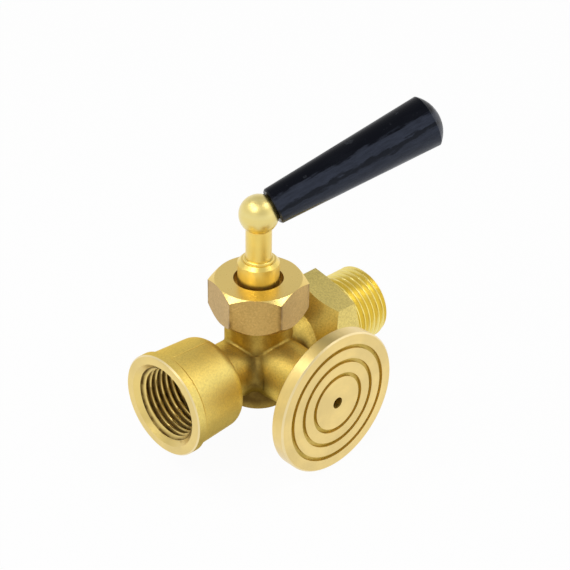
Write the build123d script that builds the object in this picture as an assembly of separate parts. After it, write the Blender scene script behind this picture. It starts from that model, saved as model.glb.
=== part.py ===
from build123d import *
from math import cos, pi, radians, sin, tan
import os

# Three-way gauge cock with a round test flange. Millimetres, +Z up along the stem. The origin is on the
# axis of the male thread, in the shoulder face that the thread starts from, and +X points out of that
# thread. The three port axes cross on the stem's axis, and heights are counted from that crossing.

# Half-inch parallel pipe thread: the male one is left plain at its crests, the female one at its own
THREAD_MAJOR_D = 20.955
THREAD_MINOR_D = 18.631

# Ends of the three ports, from the crossing of their axes
SHOULDER_REACH = 25.7
SOCKET_REACH = 34.0
FLANGE_REACH = 30.0

# Barrel and the cast necks that leave it
BARREL_D = 18.1
BARREL_FOOT = 11.7
BARREL_EDGE = 0.6
INLET_NECK_D = 18.6
SOCKET_NECK_D = 15.8
FLANGE_NECK_D = 16.8
CAST_ROUND = 0.8
PASSAGE_D = 5.0

# Male end: a hexagon for the wrench, coned at the back and bevelled at the shoulder, then the spigot
HEXAGON_SIDES = 6
HEXAGON_FLATS = 27.3
HEXAGON_TURN = 13.5
HEXAGON_LENGTH = 6.7
HEXAGON_CONE = 5.6
HEXAGON_BEVEL = 0.6
SPIGOT_LENGTH = 15.0
SPIGOT_CHAMFER = 1.2

# Female socket
SOCKET_RIM_D = 28.3
SOCKET_RIM_WIDTH = 2.6
SOCKET_RIM_EDGE = 0.4
SOCKET_FRONT_D = 26.9
SOCKET_BACK_D = 25.6
SOCKET_LENGTH = 18.4
SOCKET_SHOULDER_R = 3.4
SOCKET_DEPTH = 16.0
SOCKET_MOUTH_D = 23.2
DRILL_POINT = 118.0

# Test flange, with turned rings in its face
FLANGE_D = 40.0
FLANGE_THICKNESS = 4.0
FLANGE_EDGE = 0.35
FLANGE_ROOT_D = 15.2
FLANGE_ROOT_R = 2.0
FLANGE_HOLE_D = 3.2
GROOVE_COUNT = 3
GROOVE_FIRST_R = 8.25
GROOVE_PITCH = 4.0
GROOVE_WIDTH = 1.1
GROOVE_DEPTH = 0.8

# Taper seat and plug
SEAT_TOP = 9.2
SEAT_FOOT = 8.6
SEAT_TOP_D = 13.2
SEAT_TAPER = 0.155
SEAT_RELIEF = 0.9
PLUG_EDGE = 0.5

# Stuffing box, stacked upwards from the seat
BOX_D = 14.2
WASHER_THICKNESS = 1.2
PACKING_COUNT = 3
PACKING_THICKNESS = 2.0
FOLLOWER_GRIP = 2.5
GLAND_TAKE_UP = 1.1
FOLLOWER_HEAD = 1.5
FOLLOWER_HEAD_D = 16.6
FOLLOWER_EDGE = 0.3

# Gland nut
NUT_SIDES = 6
NUT_FLATS = 23.2
NUT_TURN = 12.5
NUT_HEIGHT = 10.6
NUT_CROWN = 3.0
NUT_BORE_D = 13.3
NUT_TOP_BEVEL = 1.3
NUT_FOOT_BEVEL = 2.1

# Stem above the nut, with the ball that carries the handle
STEM_D = 11.1
STEM_RISE = 5.8
STEM_CHAMFER = 0.9
NECK_D = 6.9
NECK_ROUND = 0.7
NECK_LENGTH = 13.3
BALL_D = 10.55
BALL_FLAT = 4.0

# Handle
HANDLE_TURN = -20.0
HANDLE_TILT = 20.0
GRIP_LENGTH = 46.6
GRIP_SMALL_D = 10.0
GRIP_LARGE_D = 14.3
GRIP_DOME = 3.3
GRIP_EDGE = 0.4
STUD_D = 5.0
STUD_IN_BALL = 6.0
STUD_IN_GRIP = 16.0
STUD_EDGE = 0.5

# Clearances on the radius, or along an axis where they are end play
RUNNING = 0.08
STATIC = 0.05
END_PLAY = 0.1

# Heights that follow from the stack in the stuffing box
WASHER_FOOT = SEAT_TOP + END_PLAY
PACKING_FOOT = WASHER_FOOT + WASHER_THICKNESS
PACKING_TOP = PACKING_FOOT + PACKING_COUNT * PACKING_THICKNESS
BARREL_TOP = PACKING_TOP + FOLLOWER_GRIP
FOLLOWER_TOP = BARREL_TOP + GLAND_TAKE_UP + FOLLOWER_HEAD
NUT_TOP = FOLLOWER_TOP + NUT_CROWN
NUT_FOOT = NUT_TOP - NUT_HEIGHT
STEM_TOP = NUT_TOP + STEM_RISE
BALL_HEIGHT = STEM_TOP + NECK_LENGTH

# Axes that the pieces are turned round: local X runs along the axis
CENTRE = Vector(-SHOULDER_REACH, 0, 0)
BALL_CENTRE = CENTRE + Vector(0, 0, BALL_HEIGHT)
STEM = Plane(CENTRE, x_dir=(0, 0, 1), z_dir=(0, -1, 0))
INLET = Plane(CENTRE, x_dir=(1, 0, 0), z_dir=(0, -1, 0))
SOCKET = Plane(CENTRE, x_dir=(-1, 0, 0), z_dir=(0, -1, 0))
FLANGE = Plane(CENTRE, x_dir=(0, -1, 0), z_dir=(1, 0, 0))
ACROSS = Vector(cos(radians(HANDLE_TURN)), sin(radians(HANDLE_TURN)), 0)
ASIDE = Vector(-ACROSS.Y, ACROSS.X, 0)
HANDLE = Plane(
    BALL_CENTRE,
    x_dir=ACROSS * cos(radians(HANDLE_TILT)) + Vector(0, 0, sin(radians(HANDLE_TILT))),
    z_dir=ASIDE,
)
PLUG_RUN = Plane(CENTRE, x_dir=ACROSS, z_dir=(0, 0, 1))
PLUG_BRANCH = Plane(CENTRE, x_dir=ASIDE, z_dir=(0, 0, 1))


def turned(axis, *edges):
    """Turn a closed outline of (along, out) points and arcs round an axis."""
    return axis * revolve(make_face(list(edges)), Axis.X)


def turned_points(axis, *points):
    """Turn a straight-sided outline round an axis."""
    return turned(axis, *Polyline(*points, close=True).edges())


def rod(axis, diameter, start, end):
    """A plain round bar, or the drill that makes a plain hole."""
    radius = diameter / 2
    return turned_points(axis, (start, 0), (end, 0), (end, radius), (start, radius))


def collar(axis, inner_d, outer_d, start, end):
    """A plain ring."""
    inner, outer = inner_d / 2, outer_d / 2
    return turned_points(axis, (start, inner), (end, inner), (end, outer), (start, outer))


def prism(sides, flats, foot, height, normal, x_dir):
    """A regular bar between two heights over a plane through the centre."""
    corner = flats / 2 / cos(pi / sides)
    base = Plane(CENTRE + normal * foot, x_dir=x_dir, z_dir=normal)
    return extrude(base * RegularPolygon(corner, sides), height), corner


def seat_radius(height):
    """Radius of the taper seat at a height over the port axes."""
    return SEAT_TOP_D / 2 - (SEAT_TOP - height) * SEAT_TAPER / 2


def barrel():
    """Closed at the foot, open at the top where the stuffing box is."""
    radius = BARREL_D / 2
    return turned_points(
        STEM,
        (-BARREL_FOOT, 0),
        (-BARREL_FOOT, radius - BARREL_EDGE),
        (-BARREL_FOOT + BARREL_EDGE, radius),
        (BARREL_TOP, radius),
        (BARREL_TOP, 0),
    )


def inlet_end():
    """A round neck, the hexagon and the spigot."""
    neck, flat = INLET_NECK_D / 2, HEXAGON_FLATS / 2
    back = SHOULDER_REACH - HEXAGON_LENGTH
    cone_start = back - HEXAGON_CONE
    turn = Vector(0, sin(radians(HEXAGON_TURN)), cos(radians(HEXAGON_TURN)))
    length = HEXAGON_LENGTH + HEXAGON_CONE
    bar, corner = prism(HEXAGON_SIDES, HEXAGON_FLATS, cone_start, length, Vector(1, 0, 0), turn)
    envelope = turned_points(
        INLET,
        (cone_start, 0),
        (cone_start, neck),
        (back, corner),
        (SHOULDER_REACH - HEXAGON_BEVEL, corner),
        (SHOULDER_REACH, flat),
        (SHOULDER_REACH, 0),
    )
    crest = THREAD_MAJOR_D / 2
    end = SHOULDER_REACH + SPIGOT_LENGTH
    spigot = turned_points(
        INLET,
        (back, 0),
        (back, crest),
        (end - SPIGOT_CHAMFER, crest),
        (end, crest - SPIGOT_CHAMFER),
        (end, 0),
    )
    return rod(INLET, INLET_NECK_D, 0, back) + (bar & envelope) + spigot


def socket_end():
    """A round neck that swells over a shoulder into the socket and its rim."""
    neck, back, front, rim = SOCKET_NECK_D / 2, SOCKET_BACK_D / 2, SOCKET_FRONT_D / 2, SOCKET_RIM_D / 2
    heel = SOCKET_REACH - SOCKET_LENGTH
    rim_foot = SOCKET_REACH - SOCKET_RIM_WIDTH
    swell_start = (heel, back - SOCKET_SHOULDER_R)
    swell_end = (heel + SOCKET_SHOULDER_R, back)
    return turned(
        SOCKET,
        *Polyline((0, 0), (0, neck), (heel, neck), swell_start).edges(),
        RadiusArc(swell_start, swell_end, SOCKET_SHOULDER_R),
        *Polyline(
            swell_end,
            (rim_foot - (rim - front), front),
            (rim_foot, rim),
            (SOCKET_REACH - SOCKET_RIM_EDGE, rim),
            (SOCKET_REACH, rim - SOCKET_RIM_EDGE),
            (SOCKET_REACH, 0),
            (0, 0),
        ).edges(),
    )


def flange_end():
    """A slim neck that flares into the round test flange."""
    neck, root, rim = FLANGE_NECK_D / 2, FLANGE_ROOT_D / 2, FLANGE_D / 2
    back = FLANGE_REACH - FLANGE_THICKNESS
    flare_start = (back - FLANGE_ROOT_R, root)
    flare_end = (back, root + FLANGE_ROOT_R)
    return turned(
        FLANGE,
        *Polyline((0, 0), (0, neck), (BARREL_D / 2, neck), flare_start).edges(),
        RadiusArc(flare_start, flare_end, -FLANGE_ROOT_R),
        *Polyline(
            flare_end,
            (back, rim - FLANGE_EDGE),
            (back + FLANGE_EDGE, rim),
            (FLANGE_REACH - FLANGE_EDGE, rim),
            (FLANGE_REACH, rim - FLANGE_EDGE),
            (FLANGE_REACH, 0),
            (0, 0),
        ).edges(),
    )


def chamber():
    """The taper seat, with a relief under the plug, and the stuffing box over it."""
    foot = -SEAT_FOOT - SEAT_RELIEF
    return turned_points(
        STEM,
        (foot, 0),
        (foot, seat_radius(-SEAT_FOOT)),
        (-SEAT_FOOT, seat_radius(-SEAT_FOOT)),
        (SEAT_TOP, seat_radius(SEAT_TOP)),
        (SEAT_TOP, BOX_D / 2),
        (BARREL_TOP, BOX_D / 2),
        (BARREL_TOP, 0),
    )


def socket_bore():
    """The tapped hole at the size of its crests, with a countersunk mouth and a drilled end."""
    crest, mouth = THREAD_MINOR_D / 2, SOCKET_MOUTH_D / 2
    floor = SOCKET_REACH - SOCKET_DEPTH
    point = crest / tan(radians(DRILL_POINT / 2))
    return turned_points(
        SOCKET,
        (floor - point, 0),
        (floor, crest),
        (SOCKET_REACH - (mouth - crest), crest),
        (SOCKET_REACH, mouth),
        (SOCKET_REACH, 0),
    )


def flange_grooves():
    """The turned rings that bed a gasket."""
    middles = [GROOVE_FIRST_R + index * GROOVE_PITCH for index in range(GROOVE_COUNT)]
    floor = FLANGE_REACH - GROOVE_DEPTH
    return [collar(FLANGE, 2 * r - GROOVE_WIDTH, 2 * r + GROOVE_WIDTH, floor, FLANGE_REACH) for r in middles]


def body():
    casting = barrel() + inlet_end() + socket_end() + flange_end()
    crossings = casting.edges().filter_by(lambda edge: edge.geom_type not in (GeomType.CIRCLE, GeomType.LINE))
    reach = max(INLET_NECK_D, SOCKET_NECK_D, FLANGE_NECK_D, BARREL_D)
    creases = crossings.filter_by(lambda edge: (edge.center() - CENTRE).length < reach)
    casting = fillet(creases, CAST_ROUND)
    casting -= chamber()
    casting -= socket_bore()
    casting -= rod(INLET, PASSAGE_D, 0, SHOULDER_REACH + SPIGOT_LENGTH)
    casting -= rod(SOCKET, PASSAGE_D, 0, SOCKET_REACH - SOCKET_DEPTH)
    casting -= rod(FLANGE, FLANGE_HOLE_D, 0, FLANGE_REACH)
    for groove in flange_grooves():
        casting -= groove
    return casting


def plug():
    """One turned piece: the taper with its T passage, the stem, the neck and the ball."""
    top, foot = seat_radius(SEAT_TOP) - RUNNING, seat_radius(-SEAT_FOOT) - RUNNING
    stem, neck = STEM_D / 2, NECK_D / 2
    cove_start, cove_end = (STEM_TOP, neck + NECK_ROUND), (STEM_TOP + NECK_ROUND, neck)
    piece = turned(
        STEM,
        *Polyline(
            (-SEAT_FOOT, 0),
            (-SEAT_FOOT, foot - PLUG_EDGE),
            (-SEAT_FOOT + PLUG_EDGE, foot + PLUG_EDGE * SEAT_TAPER / 2),
            (SEAT_TOP, top),
            (SEAT_TOP, stem),
            (STEM_TOP - STEM_CHAMFER, stem),
            (STEM_TOP, stem - STEM_CHAMFER),
            cove_start,
        ).edges(),
        RadiusArc(cove_start, cove_end, NECK_ROUND),
        *Polyline(cove_end, (BALL_HEIGHT, neck), (BALL_HEIGHT, 0), (-SEAT_FOOT, 0)).edges(),
    )
    piece += Location(BALL_CENTRE) * Sphere(BALL_D / 2)
    piece -= rod(HANDLE, BALL_D, BALL_FLAT, BALL_D)
    piece -= rod(HANDLE, STUD_D + 2 * STATIC, BALL_FLAT - STUD_IN_BALL - END_PLAY, BALL_FLAT)
    piece -= rod(PLUG_RUN, PASSAGE_D, -SEAT_TOP_D, SEAT_TOP_D)
    piece -= rod(PLUG_BRANCH, PASSAGE_D, 0, SEAT_TOP_D)
    return piece


def thrust_washer():
    """Takes the packing's push on the shoulder of the plug."""
    return collar(
        STEM, STEM_D + 2 * RUNNING, BOX_D - 2 * STATIC, WASHER_FOOT, WASHER_FOOT + WASHER_THICKNESS
    )


def packing_ring(index):
    """One square ring of the packing, counted upwards."""
    foot = PACKING_FOOT + index * PACKING_THICKNESS
    return collar(STEM, STEM_D + 2 * RUNNING, BOX_D - 2 * STATIC, foot, foot + PACKING_THICKNESS)


def gland_follower():
    """A headed bush that the nut pushes down on the packing."""
    bore, sleeve, head = STEM_D / 2 + RUNNING, BOX_D / 2 - STATIC, FOLLOWER_HEAD_D / 2
    head_foot = FOLLOWER_TOP - FOLLOWER_HEAD
    return turned_points(
        STEM,
        (PACKING_TOP, bore),
        (PACKING_TOP, sleeve),
        (head_foot, sleeve),
        (head_foot, head),
        (FOLLOWER_TOP - FOLLOWER_EDGE, head),
        (FOLLOWER_TOP, head - FOLLOWER_EDGE),
        (FOLLOWER_TOP, bore),
    )


def gland_nut():
    """A cap nut with a hole for the stem, bevelled more at the foot than at the top."""
    turn = Vector(cos(radians(NUT_TURN)), sin(radians(NUT_TURN)), 0)
    bar, corner = prism(NUT_SIDES, NUT_FLATS, NUT_FOOT, NUT_HEIGHT, Vector(0, 0, 1), turn)
    flat = NUT_FLATS / 2
    envelope = turned_points(
        STEM,
        (NUT_FOOT, 0),
        (NUT_FOOT, flat),
        (NUT_FOOT + NUT_FOOT_BEVEL, corner),
        (NUT_TOP - NUT_TOP_BEVEL, corner),
        (NUT_TOP, flat),
        (NUT_TOP, 0),
    )
    nut = bar & envelope
    nut -= rod(STEM, BARREL_D + 2 * STATIC, NUT_FOOT, FOLLOWER_TOP)
    nut -= rod(STEM, NUT_BORE_D, FOLLOWER_TOP, NUT_TOP)
    return nut


def handle_stud():
    """A threaded steel pin, left plain, that joins the handle to the ball."""
    start, end = BALL_FLAT - STUD_IN_BALL, BALL_FLAT + STUD_IN_GRIP
    radius = STUD_D / 2
    return turned_points(
        HANDLE,
        (start, 0),
        (start, radius - STUD_EDGE),
        (start + STUD_EDGE, radius),
        (end - STUD_EDGE, radius),
        (end, radius - STUD_EDGE),
        (end, 0),
    )


def handle_grip():
    """A moulded taper with a domed end, hollow where the stud sits."""
    start = BALL_FLAT
    rim = start + GRIP_LENGTH
    small, large, hole = GRIP_SMALL_D / 2, GRIP_LARGE_D / 2, STUD_D / 2 + STATIC
    hole_end = start + STUD_IN_GRIP + END_PLAY
    dome_r = (large**2 + GRIP_DOME**2) / (2 * GRIP_DOME)
    rim_corner, tip = (rim, large), (rim + GRIP_DOME, 0)
    return turned(
        HANDLE,
        *Polyline(
            tip,
            (hole_end, 0),
            (hole_end, hole),
            (start, hole),
            (start, small - GRIP_EDGE),
            (start + GRIP_EDGE, small),
            rim_corner,
        ).edges(),
        RadiusArc(rim_corner, tip, dome_r),
    )


def pieces():
    """Every piece by its node's name."""
    yield "body", body()
    yield "plug", plug()
    yield "thrust_washer", thrust_washer()
    for index in range(PACKING_COUNT):
        yield f"packing_ring_{index + 1}", packing_ring(index)
    yield "gland_follower", gland_follower()
    yield "gland_nut", gland_nut()
    yield "handle_stud", handle_stud()
    yield "handle_grip", handle_grip()


os.makedirs("parts", exist_ok=True)
for name, piece in pieces():
    piece.label = name
    export_step(piece, f"parts/{name}.step")
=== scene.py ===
"""Looks of a three-way gauge cock: threads, rounds, casting seam, finishes and a white studio."""

import math

import bmesh
import bpy
from mathutils import Matrix, Vector


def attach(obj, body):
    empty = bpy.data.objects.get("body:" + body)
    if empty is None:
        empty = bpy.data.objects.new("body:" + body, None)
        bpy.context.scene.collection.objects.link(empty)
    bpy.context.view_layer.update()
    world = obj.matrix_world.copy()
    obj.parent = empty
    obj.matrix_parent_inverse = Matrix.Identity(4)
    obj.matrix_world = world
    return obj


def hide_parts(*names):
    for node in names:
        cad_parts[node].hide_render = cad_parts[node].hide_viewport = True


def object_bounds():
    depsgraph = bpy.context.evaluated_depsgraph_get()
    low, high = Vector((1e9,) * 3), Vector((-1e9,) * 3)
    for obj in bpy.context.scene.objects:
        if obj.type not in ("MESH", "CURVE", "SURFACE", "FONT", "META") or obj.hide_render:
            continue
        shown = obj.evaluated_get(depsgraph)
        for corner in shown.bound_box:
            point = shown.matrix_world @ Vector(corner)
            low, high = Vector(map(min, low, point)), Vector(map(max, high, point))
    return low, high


bl_info = {
    "name": "Three-way gauge cock",
    "version": (1, 0, 0),
    "blender": (4, 5, 0),
    "location": "3D View > Sidebar > Gauge cock",
    "description": "Dresses the packed gauge cock with threads, finishes and a studio",
    "category": "Object",
}

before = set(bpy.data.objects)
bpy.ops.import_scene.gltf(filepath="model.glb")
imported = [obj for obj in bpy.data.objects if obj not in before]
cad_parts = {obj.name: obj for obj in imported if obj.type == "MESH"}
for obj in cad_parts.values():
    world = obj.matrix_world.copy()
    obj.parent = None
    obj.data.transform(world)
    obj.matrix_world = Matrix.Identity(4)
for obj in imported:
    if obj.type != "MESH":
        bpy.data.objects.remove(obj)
CAD_BOX = [list(corner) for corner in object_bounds()]
MM = 0.001

# Places in the frame, from the CAD model: the three port axes cross at PORTS, under the stem
PORTS = Vector((-25.7, 0.0, 0.0)) * MM
SPIGOT_END_X = 15.0 * MM
HEXAGON_BACK_X = -12.3 * MM
HEXAGON_FLAT = 13.65 * MM
SOCKET_MOUTH_X = -59.7 * MM
SOCKET_FLOOR_X = -43.7 * MM
FLANGE_BACK_Y = -26.0 * MM
CREST_RADIUS = 10.4775 * MM
ROOT_RADIUS = 9.3155 * MM
BARREL_RADIUS = 9.05 * MM
SOCKET_NECK_RADIUS = 7.9 * MM
INLET_NECK_RADIUS = 9.3 * MM
FLANGE_NECK_RADIUS = 8.4 * MM
FLANGE_FACE = 30.0 * MM
GROOVES_RADIUS = 17.5 * MM
RIM_RADIUS = 20.0 * MM
MOUTH_RIM_RADIUS = 14.15 * MM
NUT_CORNER_RADIUS = 13.39 * MM
BALL_FOOT_Z = 39.7 * MM
BALL_CENTRE = PORTS + Vector((0.0, 0.0, 43.7)) * MM
GRIP_TURN = (0.0, math.radians(-20.0), math.radians(-20.0))

BODY = "valve_body"
WELD = 1e-7
FINE_WELD = 1e-8
SOFT_ANGLE = math.radians(28)


# Settings

LENGTH = {"unit": "LENGTH", "precision": 5}
TINT = {"subtype": "COLOR", "size": 3}


class ThreadSettings(bpy.types.PropertyGroup):
    pitch: bpy.props.FloatProperty(
        name="Pitch", description="Advance of both pipe threads in one turn", default=1.8143 * MM, **LENGTH)
    clear: bpy.props.FloatProperty(
        name="Crest flat", description="How far the cutters stay off the crests, which leaves a narrow flat",
        default=0.05 * MM, **LENGTH)
    relief: bpy.props.FloatProperty(
        name="Relief", description="Width of the groove between the shoulder and the male thread",
        default=1.1 * MM, **LENGTH)
    around: bpy.props.IntProperty(
        name="Around", description="Divisions of one turn", default=128)
    per_turn: bpy.props.IntProperty(
        name="Per pitch", description="Divisions along one pitch", default=10)


class ValleySettings(bpy.types.PropertyGroup):
    radius: bpy.props.FloatProperty(
        name="Radius", description="Round of the casting in the valleys between two necks",
        default=3.0 * MM, **LENGTH)
    across: bpy.props.IntProperty(
        name="Across", description="Divisions of the round from one neck to the other", default=16)
    along: bpy.props.IntProperty(
        name="Along", description="Divisions along a valley", default=64)


class SeamSettings(bpy.types.PropertyGroup):
    radius: bpy.props.FloatProperty(
        name="Radius", description="Half the width of the casting's parting line", default=0.16 * MM, **LENGTH)


class FinishSettings(bpy.types.PropertyGroup):
    cast: bpy.props.FloatVectorProperty(
        name="Cast brass", description="Colour of the casting", default=(0.80, 0.595, 0.14), **TINT)
    # A paler tone than the cast, partly painted light on the socket
    socket: bpy.props.FloatVectorProperty(
        name="Socket", description="Colour of the casting round the socket", default=(0.86, 0.67, 0.2), **TINT)
    # A paler tone than the cast, partly painted light on the hexagon's flats
    hexagon: bpy.props.FloatVectorProperty(
        name="Hexagon brass", description="Colour of the wrench hexagon's flats",
        default=(0.86, 0.70, 0.225), **TINT)
    turned: bpy.props.FloatVectorProperty(
        name="Turned brass", description="Colour of the flange and the nut's top",
        default=(0.88, 0.655, 0.21), **TINT)
    ends: bpy.props.FloatVectorProperty(
        name="Threaded ends", description="Colour of the socket's mouth and its thread",
        default=(0.82, 0.61, 0.175), **TINT)
    spigot: bpy.props.FloatVectorProperty(
        name="Spigot", description="Colour of the male thread", default=(0.92, 0.76, 0.2), **TINT)
    ball: bpy.props.FloatVectorProperty(
        name="Ball", description="Colour of the ball on the stem", default=(0.84, 0.70, 0.25), **TINT)
    stem: bpy.props.FloatVectorProperty(
        name="Stem brass", description="Colour of the stem", default=(0.93, 0.685, 0.135), **TINT)
    nut: bpy.props.FloatVectorProperty(
        name="Nut brass", description="Colour of the gland nut", default=(0.58, 0.375, 0.12), **TINT)
    grip: bpy.props.FloatVectorProperty(
        name="Grip", description="Colour of the moulded grip", default=(0.003, 0.0033, 0.006), **TINT)
    packing: bpy.props.FloatVectorProperty(
        name="Packing", description="Colour of the packing rings", default=(0.75, 0.74, 0.69), **TINT)
    steel: bpy.props.FloatVectorProperty(
        name="Steel", description="Colour of the handle's stud", default=(0.5, 0.5, 0.51), **TINT)


class StageSettings(bpy.types.PropertyGroup):
    azimuth: bpy.props.FloatProperty(
        name="Azimuth", description="Viewpoint round the stem", default=math.radians(-44.69), subtype="ANGLE")
    elevation: bpy.props.FloatProperty(
        name="Elevation", description="Viewpoint over the ports' plane", default=math.radians(32.222),
        subtype="ANGLE")
    roll: bpy.props.FloatProperty(
        name="Roll", description="Turn of the camera about its own axis", default=math.radians(0.917),
        subtype="ANGLE")
    lens: bpy.props.FloatProperty(
        name="Lens", description="Focal length on a 36 mm sensor", default=109.435, unit="CAMERA")
    place: bpy.props.FloatVectorProperty(
        name="Camera place", description="Camera position in the part's frame", size=3, subtype="TRANSLATION",
        default=(-0.29127, -0.27836, 0.26484))
    floor: bpy.props.FloatVectorProperty(
        name="Floor", description="Colour of the floor", default=(0.9, 0.9, 0.9), **TINT)
    surround: bpy.props.FloatProperty(
        name="Surround", description="Level of the even light from all sides", default=0.42)
    tent_low: bpy.props.FloatProperty(
        name="Tent, low", description="Level of the surroundings in reflections, at the horizon", default=1.0)
    tent_high: bpy.props.FloatProperty(
        name="Tent, high", description="Level of the surroundings in reflections, overhead", default=0.6)
    tent_side: bpy.props.FloatProperty(
        name="Tent, side", description="Extra level of the tent's bright side in reflections", default=0.3)
    floor_glow: bpy.props.FloatProperty(
        name="Floor glow", description="Share of plain white in the floor's reflections", default=0.97)


# Node tools

NODE_STEP = 190


class Tree:
    """Adds nodes to a tree and joins them, from left to right."""

    def __init__(self, tree):
        self.tree = tree
        self.column = 0

    def add(self, kind, *sources, inputs=None, **settings):
        node = self.tree.nodes.new(kind)
        node.location = (self.column, 0)
        self.column += NODE_STEP
        for name, value in settings.items():
            setattr(node, name, value)
        for index, source in enumerate(sources):
            self.join(source, node.inputs[index])
        for key, value in (inputs or {}).items():
            self.join(value, node.inputs[key])
        return node

    def join(self, source, socket):
        if isinstance(source, bpy.types.NodeSocket):
            self.tree.links.new(source, socket)
        elif isinstance(source, bpy.types.Node):
            self.tree.links.new(source.outputs[0], socket)
        else:
            socket.default_value = source

    def math(self, operation, *values):
        return self.add("ShaderNodeMath", *values, operation=operation).outputs[0]

    def product(self, first, *others):
        for other in others:
            first = self.math("MULTIPLY", first, other)
        return first

    def vector(self, operation, *values):
        node = self.add("ShaderNodeVectorMath", *values, operation=operation)
        return node.outputs["Value" if operation in ("DOT_PRODUCT", "LENGTH") else "Vector"]

    def ramp(self, value, low, high, to_low=0.0, to_high=1.0, smooth=False):
        style = "SMOOTHSTEP" if smooth else "LINEAR"
        node = self.add("ShaderNodeMapRange", value, low, high, to_low, to_high, interpolation_type=style)
        return node.outputs[0]

    def blend(self, factor, first, second):
        node = self.add("ShaderNodeMix", data_type="RGBA")
        for source, index in ((factor, 0), (first, 6), (second, 7)):
            self.join(source, node.inputs[index])
        return node.outputs[2]

    def place(self):
        return self.add("ShaderNodeTexCoord").outputs["Object"]

    def noise(self, inputs, **settings):
        return self.add("ShaderNodeTexNoise", inputs=inputs, **settings).outputs[0]

    def group(self, tree, inputs):
        return self.add("ShaderNodeGroup", node_tree=tree, inputs=inputs).outputs

    def bump(self, shader, strength, distance, height):
        raised = self.add("ShaderNodeBump", inputs={"Strength": strength, "Distance": distance, "Height": height})
        self.join(raised, shader.inputs["Normal"])


def socket_list(tree, names, direction):
    """Makes named sockets on a group: (name, kind, default) each."""
    for name, kind, default in names:
        socket = tree.interface.new_socket(name, in_out=direction, socket_type=kind)
        if default is not None:
            socket.default_value = default


def number_outputs(tree, *names):
    """Makes the number outputs of a shader group."""
    socket_list(tree, [(name, "NodeSocketFloat", None) for name in names], "OUTPUT")


def colour(value):
    """A colour with full cover, as the sockets take it."""
    return (*value, 1.0)


# Surface effects shared by the finishes

# Axes through the ports' crossing: what counts across them, and the way along
STEM_AXIS = {"Across": (1, 1, 0), "Along": (0, 0, 1)}
RUN_AXIS = {"Across": (0, 1, 1), "Along": (1, 0, 0)}
BRANCH_AXIS = {"Across": (1, 0, 1), "Along": (0, 1, 0)}
FLANGE_AXIS = {"Across": (1, 0, 1), "Along": (0, -1, 0)}

# Where the casting's painted shade starts and ends: gaps to the walls, then heights, then places towards the back
CREASE_FADE = (0.8 * MM, 2.6 * MM)
BARREL_FADE = (0.2 * MM, 2.0 * MM)
VALLEY_FADE = (1.0 * MM, 4.0 * MM)
NEAR_FADE = (3.5 * MM, 8.5 * MM)
LOW_HEIGHT = (4.5 * MM, -1.5 * MM)
FOOT_HEIGHT = (-11.2 * MM, -8.5 * MM)
VALLEY_HEIGHT = (8.5 * MM, 4.0 * MM)
VALLEY_FRONT = (-2.5 * MM, -5.5 * MM)
LOW_FRONT = (3.0 * MM, -3.0 * MM)
NECK_CHANGE = (-1 * MM, 1 * MM)
BEHIND_FACTOR = 4.0


def grain_group():
    """Sand grain of a casting or a blank: a height and a mask of slow changes of tone."""
    group = bpy.data.node_groups.new("surface grain", "ShaderNodeTree")
    socket_list(group, [("Fine", "NodeSocketFloat", 900.0), ("Broad", "NodeSocketFloat", 90.0)], "INPUT")
    number_outputs(group, "Height", "Tone")
    t = Tree(group)
    given = t.add("NodeGroupInput").outputs
    place = t.place()
    fine = t.noise({"Vector": place, "Scale": given["Fine"], "Detail": 5.0, "Roughness": 0.62})
    broad = t.noise({"Vector": place, "Scale": given["Broad"], "Detail": 3.0, "Roughness": 0.55})
    out = t.add("NodeGroupOutput")
    t.join(fine, out.inputs["Height"])
    t.join(t.ramp(broad, 0.3, 0.7, smooth=True), out.inputs["Tone"])
    return group


def axis_group():
    """Where a point is from an axis: how far out and how far along."""
    group = bpy.data.node_groups.new("axis place", "ShaderNodeTree")
    socket_list(group, [
        ("Across", "NodeSocketVector", (0.0, 1.0, 1.0)),
        ("Along", "NodeSocketVector", (1.0, 0.0, 0.0)),
    ], "INPUT")
    number_outputs(group, "Radius", "Reach")
    t = Tree(group)
    given = t.add("NodeGroupInput").outputs
    local = t.vector("SUBTRACT", t.place(), tuple(PORTS))
    out = t.add("NodeGroupOutput")
    t.join(t.vector("LENGTH", t.vector("MULTIPLY", local, given["Across"])), out.inputs["Radius"])
    t.join(t.vector("DOT_PRODUCT", local, given["Along"]), out.inputs["Reach"])
    return group


def turning_group():
    """Fine rings left by a lathe tool, by the distance from an axis and along it."""
    group = bpy.data.node_groups.new("turning marks", "ShaderNodeTree")
    socket_list(group, [
        ("Radius", "NodeSocketFloat", 0.0),
        ("Reach", "NodeSocketFloat", 0.0),
        ("Density", "NodeSocketFloat", 3000.0),
    ], "INPUT")
    number_outputs(group, "Height", "Tone")
    t = Tree(group)
    given = t.add("NodeGroupInput").outputs
    feed = t.math("ADD", given["Radius"], given["Reach"])
    rings = t.noise({"W": feed, "Scale": given["Density"], "Detail": 2.0}, noise_dimensions="1D")
    coarse = t.math("MULTIPLY", given["Density"], 0.12)
    bands = t.noise({"W": feed, "Scale": coarse, "Detail": 1.0}, noise_dimensions="1D")
    out = t.add("NodeGroupOutput")
    t.join(rings, out.inputs["Height"])
    t.join(t.ramp(bands, 0.35, 0.65, smooth=True), out.inputs["Tone"])
    return group


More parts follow.
